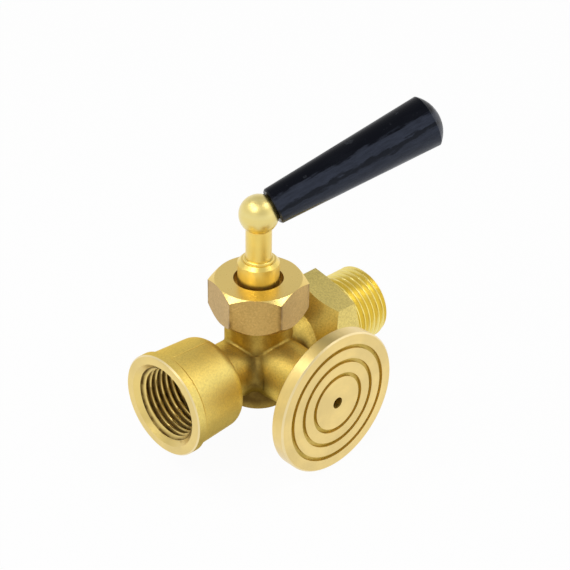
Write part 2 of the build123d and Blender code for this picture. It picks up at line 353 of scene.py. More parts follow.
def hollow_group(axis):
    """Where shade is painted on the casting: creases where round forms meet, the barrel's wall, valleys and
    underside.
    """
    group = bpy.data.node_groups.new("casting hollows", "ShaderNodeTree")
    socket_list(group, [("Spread", "NodeSocketFloat", 2.5 * MM)], "INPUT")
    number_outputs(group, "Crease", "Barrel", "Under")
    t = Tree(group)
    given = t.add("NodeGroupInput").outputs
    stem, run, branch = (t.group(axis, line) for line in (STEM_AXIS, RUN_AXIS, BRANCH_AXIS))
    neck = t.ramp(run["Reach"], *NECK_CHANGE, SOCKET_NECK_RADIUS, INLET_NECK_RADIUS)
    behind = t.math("MULTIPLY", t.math("MAXIMUM", branch["Reach"], 0.0), BEHIND_FACTOR)
    gaps = [
        t.math("SUBTRACT", stem["Radius"], BARREL_RADIUS),
        t.math("SUBTRACT", run["Radius"], neck),
        t.math("ADD", t.math("SUBTRACT", branch["Radius"], FLANGE_NECK_RADIUS), behind),
    ]
    first, second, third = (t.math("MAXIMUM", gap, 0.0) for gap in gaps)
    total = t.math("ADD", t.math("ADD", first, second), third)
    widest = t.math("MAXIMUM", t.math("MAXIMUM", first, second), third)
    inner = t.math("SUBTRACT", total, widest)
    crease = t.product(t.ramp(inner, 0.0, given["Spread"], 1.0, 0.0, smooth=True),
                       t.ramp(first, *CREASE_FADE, 1.0, 0.0, smooth=True))
    # Painted shadow in the valleys and below the ports' crossing
    valley = t.product(t.ramp(inner, *VALLEY_FADE, 0.95, 0.0, smooth=True),
                       t.ramp(stem["Reach"], *VALLEY_HEIGHT, smooth=True),
                       t.ramp(branch["Reach"], *VALLEY_FRONT, smooth=True))
    low = t.product(t.ramp(stem["Reach"], *LOW_HEIGHT, smooth=True),
                    t.ramp(branch["Reach"], *LOW_FRONT, 0.35, 1.0, smooth=True))
    under = t.product(t.math("MAXIMUM", low, valley),
                      t.ramp(stem["Reach"], *FOOT_HEIGHT, 0.5, 1.0, smooth=True),
                      t.ramp(first, *NEAR_FADE, 1.0, 0.0, smooth=True))
    out = t.add("NodeGroupOutput")
    t.join(crease, out.inputs["Crease"])
    t.join(t.ramp(first, *BARREL_FADE, 1.0, 0.0, smooth=True), out.inputs["Barrel"])
    t.join(under, out.inputs["Under"])
    return group


def painted_shade_group():
    """Darker colour of painted shade, laid by a mask and broken up by a noise."""
    group = bpy.data.node_groups.new("painted_shade", "ShaderNodeTree")
    socket_list(group, [
        ("Clean", "NodeSocketColor", (0.8, 0.8, 0.8, 1.0)),
        ("Painted shade", "NodeSocketColor", (0.30, 0.19, 0.05, 1.0)),
        ("Mask", "NodeSocketFloat", 0.0),
        ("Break", "NodeSocketFloat", 0.3),
    ], "INPUT")
    socket_list(group, [("Colour", "NodeSocketColor", None), ("Share", "NodeSocketFloat", None)], "OUTPUT")
    t = Tree(group)
    given = t.add("NodeGroupInput").outputs
    spots = t.noise({"Vector": t.place(), "Scale": 420.0, "Detail": 4.0})
    loss = t.math("MULTIPLY", t.ramp(spots, 0.35, 0.65, 1.0, 0.0, smooth=True), given["Break"])
    share = t.math("MULTIPLY", given["Mask"], t.math("SUBTRACT", 1.0, loss))
    out = t.add("NodeGroupOutput")
    t.join(t.blend(share, given["Clean"], given["Painted shade"]), out.inputs["Colour"])
    t.join(share, out.inputs["Share"])
    return group


# Finishes

GRAIN_SPECK = (0.25, 0.17, 0.05)
# Painted shade in the casting's creases and on the barrel's wall
CREASE_SHADE = (0.28, 0.17, 0.03)
# Painted shadow in the valleys and under the ports' crossing
UNDER_SHADE = (0.11, 0.064, 0.014)
# Painted shade on the socket's underside
BELLY_SHADE = (0.40, 0.31, 0.095)
# Painted shade along the gland nut's corners
NUT_EDGE_SHADE = (0.16, 0.09, 0.03)
# Painted shade on the floors of the flange's turned rings
GROOVE_SHADE = (0.62, 0.47, 0.11)
# Painted shade, nearly black, in the flange's hole
HOLE_SHADE = (0.006, 0.004, 0.002)
# Painted shade in the roots of the socket's thread
ROOT_SHADE = (0.13, 0.075, 0.02)
# Painted highlight on the edges of the flange's rim and the socket's mouth
EDGE_HIGHLIGHT = (1.0, 0.9, 0.66)
CAST_EDGE_TINT = (1.0, 0.82, 0.45)
# Painted bluish reflection on the grip's lower side
GRIP_REFLECTION_TINT = (0.035, 0.041, 0.062)
GRIP_SCUFF = (0.05, 0.055, 0.065)
GRIP_EDGE_TINT = (0.75, 0.85, 1.0)

# The socket: where it starts along the run, how far its paler tone mixes in, and the heights of its painted
# highlight along the flank and its painted shade on the belly
SOCKET_START = (-13.0 * MM, -17.0 * MM)
SOCKET_SHARE = 0.35
FLANK_TOP = (11.5 * MM, 8.0 * MM)
FLANK_FOOT = (-2.0 * MM, 3.0 * MM)
FLANK_HIGHLIGHT = (1.17, 1.28, 1.55)
BELLY_HEIGHT = (4.0 * MM, -7.0 * MM)

# The grip in its own turn: how smears stretch along it, the way up across it, and where its painted reflection
# starts
GRIP_STRETCH = (0.22, 1.0, 1.0)
GRIP_UPWARDS = (0.0, 0.63, 0.78)
GRIP_REFLECTION_HEIGHT = (1.9 * MM, 0.8 * MM)
GRIP_STREAK_DROP = 2.2 * MM
GRIP_STREAK_FADE = (0.3 * MM, 1.0 * MM)

COAT = 0.7
TIP_FADE = 0.7 * MM


def finish_material(name):
    """A new material with its shader, and the tool to add nodes to it."""
    material = bpy.data.materials.new(name)
    material.use_nodes = True
    t = Tree(material.node_tree)
    shader = material.node_tree.nodes["Principled BSDF"]
    return material, t, shader


def shades(value, darker, lighter):
    """Two tones of one colour."""
    return colour([c * darker for c in value]), colour([min(1.0, c * lighter) for c in value])


def grained(t, shader, tone, groups, fine, bump, rough):
    """Grain all over a brass surface: its colour comes back, its roughness and relief are joined."""
    grain = t.group(groups["grain"], {"Fine": fine})
    mixed = t.blend(grain["Tone"], *shades(tone, 0.93, 1.05))
    speck = t.ramp(grain["Height"], 0.36, 0.62)
    t.join(t.ramp(grain["Height"], 0.3, 0.7, rough[1], rough[0]), shader.inputs["Roughness"])
    t.bump(shader, bump, 0.1 * MM, grain["Height"])
    shader.inputs["Metallic"].default_value = 1.0
    return t.blend(speck, t.blend(0.3, mixed, colour(GRAIN_SPECK)), mixed)


def cast_brass(tone, paler, groups):
    """Sand-cast brass with painted shade in the creases, on the barrel's wall, in the valleys and underneath; the
    socket is paler, partly painted light, with a painted highlight along its flank and painted shade on its
    belly.
    """
    material, t, shader = finish_material("cast brass")
    plain = grained(t, shader, tone, groups, 2000.0, 0.35, (0.43, 0.57))
    reach = t.group(groups["axis"], RUN_AXIS)["Reach"]
    height = t.group(groups["axis"], STEM_AXIS)["Reach"]
    # The socket mixes towards a paler tone, partly painted light
    socket = t.ramp(reach, *SOCKET_START, 0.0, SOCKET_SHARE)
    plain = t.blend(socket, plain, colour(paler))
    on_socket = t.math("GREATER_THAN", socket, 0.1)
    # Painted highlight along the socket's flank
    flank = t.product(t.ramp(height, *FLANK_TOP, smooth=True),
                      t.ramp(height, *FLANK_FOOT, smooth=True), on_socket)
    gain = t.blend(flank, colour((1.0, 1.0, 1.0)), colour(FLANK_HIGHLIGHT))
    # Painted shade, darker towards the bottom of the socket
    belly = t.product(t.ramp(height, *BELLY_HEIGHT, 0.0, 0.95, smooth=True), on_socket)
    # Painted shade in the creases, on the barrel's wall, in the valleys and underneath
    hollows = t.group(groups["hollows"], {"Spread": 2.0 * MM})
    creases = t.product(t.math("MAXIMUM", hollows["Crease"], hollows["Barrel"]), 0.65)
    result = t.vector("MULTIPLY", plain, gain)
    for painted_shade, mask, lost in ((BELLY_SHADE, belly, 0.2), (CREASE_SHADE, creases, 0.3),
                             (UNDER_SHADE, hollows["Under"], 0.1)):
        result = t.group(groups["painted_shade"], {
            "Clean": result, "Painted shade": colour(painted_shade), "Mask": mask, "Break": lost})["Colour"]
    t.join(result, shader.inputs["Base Color"])
    shader.inputs["Specular Tint"].default_value = colour(CAST_EDGE_TINT)
    return material


def pale_hexagon_brass(tone, groups):
    """The flats of the wrench hexagon: a paler, more lemon tone of their own, lifted further as painted light."""
    material, t, shader = finish_material("hexagon brass")
    t.join(grained(t, shader, tone, groups, 2000.0, 0.3, (0.4, 0.54)), shader.inputs["Base Color"])
    return material


def nut_brass(tone, crown, groups):
    """Drawn bar on the nut's flats with painted shade along its corners, bright from the tool on its top and
    bevels.
    """
    material, t, shader = finish_material("nut brass")
    plain = grained(t, shader, tone, groups, 1800.0, 0.16, (0.26, 0.38))
    radius = t.group(groups["axis"], STEM_AXIS)["Radius"]
    # Painted shade along the nut's corners
    edges = t.ramp(radius, NUT_CORNER_RADIUS - 0.5 * MM, NUT_CORNER_RADIUS, 0.0, 0.8)
    plain = t.group(groups["painted_shade"], {
        "Clean": plain, "Painted shade": colour(NUT_EDGE_SHADE), "Mask": edges, "Break": 0.8})["Colour"]
    facing = t.add("ShaderNodeSeparateXYZ", t.add("ShaderNodeTexCoord").outputs["Normal"]).outputs[2]
    t.join(t.blend(t.ramp(facing, 0.25, 0.4), plain, colour(crown)), shader.inputs["Base Color"])
    return material


def turned_brass(name, tone, groups, line, rough, places=None, tip=None):
    """Brass with the rings of a lathe tool round one axis, painted shade in its hollows, a painted highlight on
    its edges and a paler tip.
    """
    material, t, shader = finish_material(name)
    axis = t.group(groups["axis"], line)
    marks = t.group(groups["turning"], {"Radius": axis["Radius"], "Reach": axis["Reach"], "Density": 5000.0})
    grain = t.group(groups["grain"], {"Fine": 1500.0, "Broad": 120.0})
    dark, light = shades(tone, 0.9, 1.06)
    mixed = t.blend(grain["Tone"], dark, light)
    if tip:
        start, paler = tip
        mixed = t.blend(t.ramp(axis["Reach"], start, start + TIP_FADE), mixed, colour(paler))
    plain = t.blend(t.product(marks["Tone"], 0.25), mixed, dark)
    smooth = t.ramp(marks["Height"], 0.3, 0.7, *rough)
    coat = COAT
    if places:
        mask, painted_shade, highlit_edge = places(t, axis["Radius"], axis["Reach"])
        # Painted shade in the hollows that the places give
        shaded = t.group(groups["painted_shade"], {"Clean": plain, "Painted shade": painted_shade, "Mask": mask})
        # Painted highlight on the edges that the places give
        plain = t.blend(t.product(highlit_edge, 0.35), shaded["Colour"], colour(EDGE_HIGHLIGHT))
        smooth = t.math("ADD", smooth, t.product(shaded["Share"], 0.2))
        coat = t.ramp(shaded["Share"], 0.0, 0.8, COAT, 0.0)
    t.join(plain, shader.inputs["Base Color"])
    t.join(smooth, shader.inputs["Roughness"])
    t.bump(shader, 0.12, 0.05 * MM, t.math("ADD", marks["Height"], t.product(grain["Height"], 0.5)))
    shader.inputs["Metallic"].default_value = 1.0
    t.join(coat, shader.inputs["Coat Weight"])
    shader.inputs["Coat Roughness"].default_value = 0.3
    shader.inputs["Coat IOR"].default_value = 1.7
    return material


def flange_places(t, radius, reach):
    """Painted shade in the turned rings and the hole of the flange's face, and a painted highlight on the edge of
    its rim.
    """
    # Painted shade on the rings' floors and in the hole
    sunk = t.ramp(reach, FLANGE_FACE - 0.7 * MM, FLANGE_FACE - 0.1 * MM, 1.0, 0.0)
    hole = t.math("LESS_THAN", radius, 2 * MM)
    painted_shade = t.blend(hole, colour(GROOVE_SHADE), colour(HOLE_SHADE))
    rings = t.product(t.math("LESS_THAN", radius, GROOVES_RADIUS),
                      t.math("GREATER_THAN", reach, FLANGE_FACE - 1.0 * MM))
    mask = t.product(sunk, t.math("MAXIMUM", rings, t.product(hole, 1.5)))
    corner = RIM_RADIUS + FLANGE_FACE
    # Painted highlight on the rim's front edge
    edge = t.ramp(t.math("ADD", radius, reach), corner - 0.5 * MM, corner - 0.36 * MM)
    return mask, painted_shade, edge


def end_places(t, radius, reach):
    """Painted shade in the roots of the socket's thread, and a painted highlight on the edge of its mouth."""
    # Painted shade in the thread's roots
    roots = t.ramp(radius, ROOT_RADIUS + 0.2 * MM, CREST_RADIUS - 0.3 * MM)
    inside = t.product(t.math("GREATER_THAN", reach, SOCKET_MOUTH_X - PORTS.x + 1.3 * MM),
                       t.math("LESS_THAN", reach, 0.0))
    # Painted highlight on the mouth's edge
    edge = t.ramp(radius, MOUTH_RIM_RADIUS - 0.45 * MM, MOUTH_RIM_RADIUS - 0.3 * MM)
    return t.product(roots, inside), colour(ROOT_SHADE), edge


def moulded_black(tone, groups):
    """Moulded grip: black on top, a painted bluish reflection along its lower side with a dark streak through it,
    smears in its gloss and small scuffs.
    """
    material, t, shader = finish_material("moulded grip")
    local = t.vector("SUBTRACT", t.place(), tuple(BALL_CENTRE))
    along = t.add("ShaderNodeVectorRotate", local, rotation_type="EULER_XYZ",
                  invert=True, inputs={"Rotation": GRIP_TURN}).outputs[0]
    drawn = t.vector("MULTIPLY", along, GRIP_STRETCH)
    smear = t.noise({"Vector": drawn, "Scale": 330.0, "Detail": 5.0, "Roughness": 0.6})
    mottle = t.noise({"Vector": drawn, "Scale": 1500.0, "Detail": 3.0})
    grain = t.group(groups["grain"], {"Fine": 260.0, "Broad": 55.0})
    scuffs = t.ramp(grain["Height"], 0.64, 0.7)
    bloom = t.ramp(smear, 0.4, 0.65, smooth=True)
    height = t.vector("DOT_PRODUCT", along, GRIP_UPWARDS)
    for wave, swing in ((smear, 0.6 * MM), (mottle, 0.5 * MM)):
        height = t.math("ADD", height, t.ramp(wave, 0.3, 0.7, -swing, swing))
    # Painted reflection on the lower side, with a dark streak through it
    reflection_side = t.ramp(height, *GRIP_REFLECTION_HEIGHT, smooth=True)
    off_streak = t.math("ABSOLUTE", t.math("ADD", height, GRIP_STREAK_DROP))
    streak = t.ramp(off_streak, *GRIP_STREAK_FADE, 0.1, 1.0, smooth=True)
    share = t.product(reflection_side, streak, t.ramp(mottle, 0.3, 0.7, 0.55, 1.0))
    painted_reflection = t.blend(share, colour(tone), colour(GRIP_REFLECTION_TINT))
    t.join(t.blend(t.product(scuffs, 0.4), painted_reflection, colour(GRIP_SCUFF)), shader.inputs["Base Color"])
    rough = t.math("ADD", t.ramp(bloom, 0.0, 1.0, 0.24, 0.4), t.product(scuffs, 0.2))
    t.join(rough, shader.inputs["Roughness"])
    t.bump(shader, 0.05, 0.2 * MM, grain["Height"])
    t.join(t.ramp(reflection_side, 0.0, 1.0, 0.08, 0.2), shader.inputs["Specular IOR Level"])
    shader.inputs["Specular Tint"].default_value = colour(GRIP_EDGE_TINT)
    return material


def plain_grained(name, tone, groups, fine, rough, metallic):
    """A grained finish for the pieces inside."""
    material, t, shader = finish_material(name)
    grain = t.group(groups["grain"], {"Fine": fine})
    t.join(t.blend(grain["Tone"], *shades(tone, 0.85, 1.08)), shader.inputs["Base Color"])
    t.join(t.ramp(grain["Height"], 0.3, 0.7, *rough), shader.inputs["Roughness"])
    t.bump(shader, 0.2, 0.1 * MM, grain["Height"])
    shader.inputs["Metallic"].default_value = metallic
    return material


def make_finishes():
    """Every material of the valve by a short name."""
    finish = bpy.context.scene.cock_finish
    axis = axis_group()
    groups = {"grain": grain_group(), "axis": axis, "turning": turning_group(), "hollows": hollow_group(axis),
              "painted_shade": painted_shade_group()}
    spigot_tip = (-PORTS.x - TIP_FADE, finish.spigot)
    ball_tip = (BALL_FOOT_Z, finish.ball)
    return {
        "cast": cast_brass(finish.cast, finish.socket, groups),
        "hexagon": pale_hexagon_brass(finish.hexagon, groups),
        "flange": turned_brass("turned flange", finish.turned, groups, FLANGE_AXIS, (0.34, 0.46), flange_places),
        "ends": turned_brass("turned ends", finish.ends, groups, RUN_AXIS, (0.28, 0.4), end_places, spigot_tip),
        "stem": turned_brass("turned stem", finish.stem, groups, STEM_AXIS, (0.32, 0.44), tip=ball_tip),
        "nut": nut_brass(finish.nut, finish.turned, groups),
        "grip": moulded_black(finish.grip, groups),
        "packing": plain_grained("woven packing", finish.packing, groups, 1400.0, (0.6, 0.8), 0.0),
        "steel": plain_grained("stud steel", finish.steel, groups, 900.0, (0.25, 0.4), 1.0),
    }


FINISHES = {}


def finishes():
    """The materials, made once."""
    if not FINISHES:
        FINISHES.update(make_finishes())
    return FINISHES


# Mesh tools

def linked(name, data):
    """A new object in the scene."""
    made = bpy.data.objects.new(name, data)
    bpy.context.scene.collection.objects.link(made)
    return made


def plain_mesh(source):
    """The mesh of an object as its modifiers leave it."""
    bpy.context.view_layer.update()
    graph = bpy.context.evaluated_depsgraph_get()
    return bpy.data.meshes.new_from_object(source.evaluated_get(graph))


def cleaned(mesh, weld):
    """Merges doubles, drops slivers and points every face outwards."""
    work = bmesh.new()
    work.from_mesh(mesh)
    bmesh.ops.remove_doubles(work, verts=work.verts, dist=weld)
    bmesh.ops.dissolve_degenerate(work, edges=work.edges, dist=weld)
    bmesh.ops.recalc_face_normals(work, faces=work.faces)
    work.to_mesh(mesh)
    work.free()
    return mesh


def trimmed(mesh, thin):
    """Triangles only, without the back-to-back pairs of no area that a cut leaves."""
    work = bmesh.new()
    work.from_mesh(mesh)
    bmesh.ops.triangulate(work, faces=work.faces)
    bmesh.ops.dissolve_degenerate(work, edges=work.edges, dist=thin)
    bmesh.ops.triangulate(work, faces=work.faces)
    work.verts.index_update()
    first, pairs = {}, set()
    for face in work.faces:
        corners = frozenset(corner.index for corner in face.verts)
        if corners in first:
            pairs.update((face, first[corners]))
        first[corners] = face
    bmesh.ops.delete(work, geom=list(pairs), context="FACES")
    work.to_mesh(mesh)
    work.free()
    return mesh


def softened(mesh, angle):
    """Smooth faces with sharp edges where the surface turns by more than an angle."""
    work = bmesh.new()
    work.from_mesh(mesh)
    for face in work.faces:
        face.smooth = True
    for edge in work.edges:
        edge.smooth = len(edge.link_faces) == 2 and edge.calc_face_angle(0.0) < angle
    work.to_mesh(mesh)
    work.free()
    return mesh


def evened(piece, mesh):
    """Normals that follow the larger faces, so that narrow rounds don't streak the walls beside them."""
    piece.data = mesh
    even = piece.modifiers.new("normals", "WEIGHTED_NORMAL")
    even.mode = "FACE_AREA"
    even.weight = 50
    even.keep_sharp = True
    result = plain_mesh(piece)
    piece.modifiers.clear()
    return result


# Threads

THREAD_INPUTS = [
    ("Start", "NodeSocketFloat"),
    ("Length", "NodeSocketFloat"),
    ("Plain radius", "NodeSocketFloat"),
    ("Crest radius", "NodeSocketFloat"),
    ("Root radius", "NodeSocketFloat"),
    ("Pitch", "NodeSocketFloat"),
    ("Relief", "NodeSocketFloat"),
    ("Around", "NodeSocketInt"),
    ("Rows", "NodeSocketInt"),
    ("Material", "NodeSocketMaterial"),
]
FLANK_SHARE = (0.06, 0.94)
OVERRUN = 0.3 * MM
SHOULDER_GAP = 0.12 * MM
FLOOR_GAP = 1.5 * MM
DIE_WALL = 1.5 * MM
TAP_WALL = 1.0 * MM


def thread_tree():
    """A ring round the X axis with one plain side and one side shaped as a right-hand thread."""
    tree = bpy.data.node_groups.new("thread cutter", "GeometryNodeTree")
    socket_list(tree, [(name, kind, None) for name, kind in THREAD_INPUTS], "INPUT")
    tree.interface.new_socket("Geometry", in_out="OUTPUT", socket_type="NodeSocketGeometry")
    t = Tree(tree)
    given = t.add("NodeGroupInput").outputs
    rows = given["Rows"]
    grid = t.add("GeometryNodeMeshGrid", 1.0, 1.0, t.math("ADD", given["Around"], 1.0),
                 t.math("ADD", rows, 3.0))
    place = t.add("ShaderNodeSeparateXYZ", t.add("GeometryNodeInputPosition"))
    turn = t.math("ADD", place.outputs[0], 0.5)
    loop = t.math("ADD", rows, 2.0)
    row = t.math("ROUND", t.math("MULTIPLY", t.math("ADD", place.outputs[1], 0.5), loop))
    row = t.math("MODULO", row, loop)
    plain = t.math("GREATER_THAN", row, t.math("SUBTRACT", rows, 0.5))
    returned = t.math("GREATER_THAN", row, t.math("ADD", rows, 0.5))
    share = t.math("MINIMUM", t.math("DIVIDE", row, t.math("SUBTRACT", rows, 1.0)), 1.0)
    share = t.math("MULTIPLY", share, t.math("SUBTRACT", 1.0, returned))
    reach = t.math("MULTIPLY", share, given["Length"])
    along = t.math("ADD", given["Start"], reach)
    phase = t.math("FRACT", t.math("SUBTRACT", t.math("DIVIDE", along, given["Pitch"]), turn))
    flank = t.math("ABSOLUTE", t.math("SUBTRACT", t.math("MULTIPLY", phase, 2.0), 1.0))
    groove = t.ramp(flank, *FLANK_SHARE, smooth=True)
    groove = t.math("MAXIMUM", groove, t.math("LESS_THAN", reach, given["Relief"]))
    depth = t.math("SUBTRACT", given["Root radius"], given["Crest radius"])
    cut = t.math("ADD", given["Crest radius"], t.math("MULTIPLY", groove, depth))
    radius = t.math("ADD", t.math("MULTIPLY", plain, given["Plain radius"]),
                    t.math("MULTIPLY", t.math("SUBTRACT", 1.0, plain), cut))
    angle = t.math("MULTIPLY", turn, math.tau)
    spot = t.add("ShaderNodeCombineXYZ", along, t.math("MULTIPLY", radius, t.math("COSINE", angle)),
                 t.math("MULTIPLY", radius, t.math("SINE", angle)))
    shaped = t.add("GeometryNodeSetPosition", inputs={"Geometry": grid.outputs["Mesh"], "Position": spot})
    closed = t.add("GeometryNodeMergeByDistance", inputs={"Geometry": shaped, "Distance": WELD})
    real = t.add("GeometryNodeRealizeInstances", closed)
    coated = t.add("GeometryNodeSetMaterial", inputs={"Geometry": real, "Material": given["Material"]})
    t.add("NodeGroupOutput", coated)
    return tree


def thread_cutter(name, tree, values):
    """A closed cutter as a plain mesh object."""
    holder = linked(name, bpy.data.meshes.new(name))
    modifier = holder.modifiers.new("thread", "NODES")
    modifier.node_group = tree
    for item in tree.interface.items_tree:
        if item.in_out == "INPUT":
            modifier[item.identifier] = values[item.name]
    mesh = cleaned(plain_mesh(holder), FINE_WELD)
    holder.modifiers.clear()
    holder.data = mesh
    return holder


def cutter_values(threads, material, start, length, plain, crest, root, relief):
    """The inputs of one cutter."""
    return {
        "Start": start, "Length": length, "Plain radius": plain, "Crest radius": crest, "Root radius": root,
        "Pitch": threads.pitch, "Relief": relief, "Around": threads.around,
        "Rows": int(length / threads.pitch * threads.per_turn), "Material": material,
    }


def male_values(threads, material):
    """The die round the spigot, from its shoulder to past its end."""
    length = SPIGOT_END_X + OVERRUN - SHOULDER_GAP
    return cutter_values(threads, material, SHOULDER_GAP, length, CREST_RADIUS + DIE_WALL,
                         CREST_RADIUS + threads.clear, ROOT_RADIUS, threads.relief)


def female_values(threads, material):
    """The tap in the socket, from before its mouth to short of its floor."""
    start = SOCKET_MOUTH_X - OVERRUN
    length = SOCKET_FLOOR_X - FLOOR_GAP - start
    return cutter_values(threads, material, start, length, ROOT_RADIUS - TAP_WALL,
                         ROOT_RADIUS - threads.clear, CREST_RADIUS, 0.0)


# Pieces

BODY_FINISHES = ("cast", "flange", "ends", "hexagon")
LEAST_FACES = 2000

# The turned hollow of the socket ends in a cone past its floor
SOCKET_HOLLOW_RADIUS = 11.7 * MM
SOCKET_CONE_DEPTH = 6 * MM
SOCKET_CONE_SLOPE = 2.0

# How far behind the ball's middle the closed back of a valley round lies, as shares of its radius
VALLEY_BACK = 1.55
VALLEY_BACK_LOSS = 0.4

# The parting line on the socket's top: places along the run and heights in millimetres
SEAM_PATH = ((-56.2, 13.42), (-50.0, 13.12), (-44.9, 12.84), (-43.4, 12.5), (-42.2, 11.4), (-41.7, 10.0))
SEAM_SINK = 0.06 * MM
SEAM_SOFT_ANGLE = math.radians(50)

NODE_FINISHES = {
    "plug": "stem",
    "gland_nut": "nut",
    "gland_follower": "stem",
    "thrust_washer": "stem",
    "packing_ring_1": "packing",
    "packing_ring_2": "packing",
    "packing_ring_3": "packing",
    "handle_stud": "steel",
    "handle_grip": "grip",
}


def finish_of_face(centre, normal):
    """Which finish a face of the body has: flange and both ends are machined, the hexagon gets a paler tone that
    is partly painted light, the rest is as cast.
    """
    if centre.y < FLANGE_BACK_Y + 0.2 * MM:
        return "flange"
    radius = math.hypot(centre.y, centre.z)
    past_floor = max(0.0, centre.x - SOCKET_FLOOR_X)
    hollow = SOCKET_HOLLOW_RADIUS - SOCKET_CONE_SLOPE * past_floor
    inside = centre.x < SOCKET_FLOOR_X + SOCKET_CONE_DEPTH and radius < hollow
    spigot = centre.x > 0.05 * MM
    mouth = centre.x < SOCKET_MOUTH_X + 0.5 * MM
    if inside or spigot or mouth:
        return "ends"
    off_flat = abs(centre.y * normal.y + centre.z * normal.z - HEXAGON_FLAT)
    flat = off_flat < 0.1 * MM and centre.x > HEXAGON_BACK_X
    shoulder = centre.x > -0.7 * MM and radius > CREST_RADIUS
    return "hexagon" if flat or shoulder else "cast"


class COCK_OT_body(bpy.types.Operator):
    """Cut both pipe threads in the casting and give it its finishes"""
    bl_idname = "cock.body"
    bl_label = "Threaded body"

    def execute(self, context):
        threads = context.scene.cock_threads
        coats = finishes()
        piece = linked("threaded_body", cleaned(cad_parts["body"].data.copy(), WELD))
        piece.data.materials.clear()
        tree = thread_tree()
        cutters = [
            thread_cutter("male_die", tree, male_values(threads, coats["ends"])),
            thread_cutter("female_tap", tree, female_values(threads, coats["ends"])),
        ]
        for cutter in cutters:
            cut = piece.modifiers.new("cut", "BOOLEAN")
            cut.operation = "DIFFERENCE"
            cut.solver = "EXACT"
            cut.object = cutter
        mesh = trimmed(plain_mesh(piece), FINE_WELD)
        piece.modifiers.clear()
        for cutter in cutters:
            bpy.data.objects.remove(cutter)
        if len(mesh.polygons) < LEAST_FACES:
            raise RuntimeError("the threads' cut left no body")
        mesh.materials.clear()
        for name in BODY_FINISHES:
            mesh.materials.append(coats[name])
        for face in mesh.polygons:
            face.material_index = BODY_FINISHES.index(finish_of_face(face.center, face.normal))
        piece.data = evened(piece, softened(mesh, SOFT_ANGLE))
        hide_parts("body")
        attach(piece, BODY)
        return {"FINISHED"}


def valley_rings(sides, radii, valleys):
    """Cross-sections of the round that a ball leaves as it rolls down the valley between two necks."""
    radius = valleys.radius
    first, second = (neck + radius for neck in radii)
    end = math.sqrt((first ** 2 + second ** 2 - BARREL_RADIUS ** 2) / 2)
    up = Vector((0, 0, 1))
    for row in range(valleys.along + 1):
        height = end * (2 * row / valleys.along - 1)
        out = sides[0] * math.sqrt(second ** 2 - height ** 2), sides[1] * math.sqrt(first ** 2 - height ** 2)
        ball = out[0] + out[1] + up * height
        touch = -(out[1] + up * height) / first, -(out[0] + up * height) / second
        bend = touch[0].angle(touch[1])
        ring = []
        for step in range(valleys.across + 1):
            turn = bend * step / valleys.across
            spoke = (touch[0] * math.sin(bend - turn) + touch[1] * math.sin(turn)) / math.sin(bend)
            ring.append((PORTS + ball + spoke * radius, -spoke))
        inwards = (touch[0] + touch[1]).normalized()
        depth = radius * (VALLEY_BACK - VALLEY_BACK_LOSS * abs(height) / end)
        yield ring + [(PORTS + ball + inwards * depth, inwards)]


class COCK_OT_valleys(bpy.types.Operator):
    """Round the valleys between the flange's neck and the two necks beside it"""
    bl_idname = "cock.valleys"
    bl_label = "Valley rounds"

    def execute(self, context):
        flange = Vector((0, -1, 0))
        pairs = [
            ((Vector((-1, 0, 0)), flange), (SOCKET_NECK_RADIUS, FLANGE_NECK_RADIUS)),
            ((Vector((1, 0, 0)), flange), (INLET_NECK_RADIUS, FLANGE_NECK_RADIUS)),
        ]
        spots, normals, faces = [], [], []
        for sides, radii in pairs:
            rings = list(valley_rings(sides, radii, context.scene.cock_valleys))
            base, size = len(spots), len(rings[0])
            for ring in rings:
                spots.extend(place for place, _ in ring)
                normals.extend(normal for _, normal in ring)
            for row in range(len(rings) - 1):
                for step in range(size):
                    here, there = base + row * size, base + (row + 1) * size
                    after = (step + 1) % size
                    faces.append((here + step, here + after, there + after, there + step))
            last = base + (len(rings) - 1) * size
            faces.append(tuple(range(base, base + size)))
            faces.append(tuple(range(last, last + size)))
        mesh = bpy.data.meshes.new("valley_rounds")
        mesh.from_pydata(spots, [], faces)
        mesh = softened(cleaned(mesh, FINE_WELD), SOFT_ANGLE)
        if len(mesh.vertices) != len(spots):
            raise RuntimeError("the valley rounds lost points")
        mesh.normals_split_custom_set_from_vertices(normals)
        mesh.materials.append(finishes()["cast"])
        piece = linked("valley_rounds", mesh)
        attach(piece, BODY)
        return {"FINISHED"}


class COCK_OT_seam(bpy.types.Operator):
    """Lay the casting's parting line along the top and the bottom of the socket"""
    bl_idname = "cock.seam"
    bl_label = "Parting line"

    def execute(self, context):
        radius = context.scene.cock_seam.radius
        work = bmesh.new()
        for side in (1, -1):
            curve = bpy.data.curves.new("parting_path", "CURVE")
            curve.dimensions = "3D"
            curve.bevel_depth = radius
            curve.bevel_resolution = 3
            curve.use_fill_caps = True
            line = curve.splines.new("POLY")
            line.points.add(len(SEAM_PATH) - 1)
            for point, (x, z) in zip(line.points, SEAM_PATH):
                point.co = (x * MM, 0.0, side * (z * MM - SEAM_SINK), 1.0)
            holder = linked("parting_path", curve)
            work.from_mesh(plain_mesh(holder))
            bpy.data.objects.remove(holder)
        mesh = bpy.data.meshes.new("parting_line")
        work.to_mesh(mesh)
        work.free()
        mesh.materials.append(finishes()["cast"])
        piece = linked("parting_line", softened(mesh, SEAM_SOFT_ANGLE))
        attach(piece, BODY)
        return {"FINISHED"}


class COCK_OT_finishes(bpy.types.Operator):
    """Give the CAD model's own pieces their finishes"""
    bl_idname = "cock.finishes"
    bl_label = "Stem, gland and handle"

    def execute(self, context):
        for node, name in NODE_FINISHES.items():
            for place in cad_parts[node].material_slots:
                place.material = finishes()[name]
        return {"FINISHED"}


# Stage

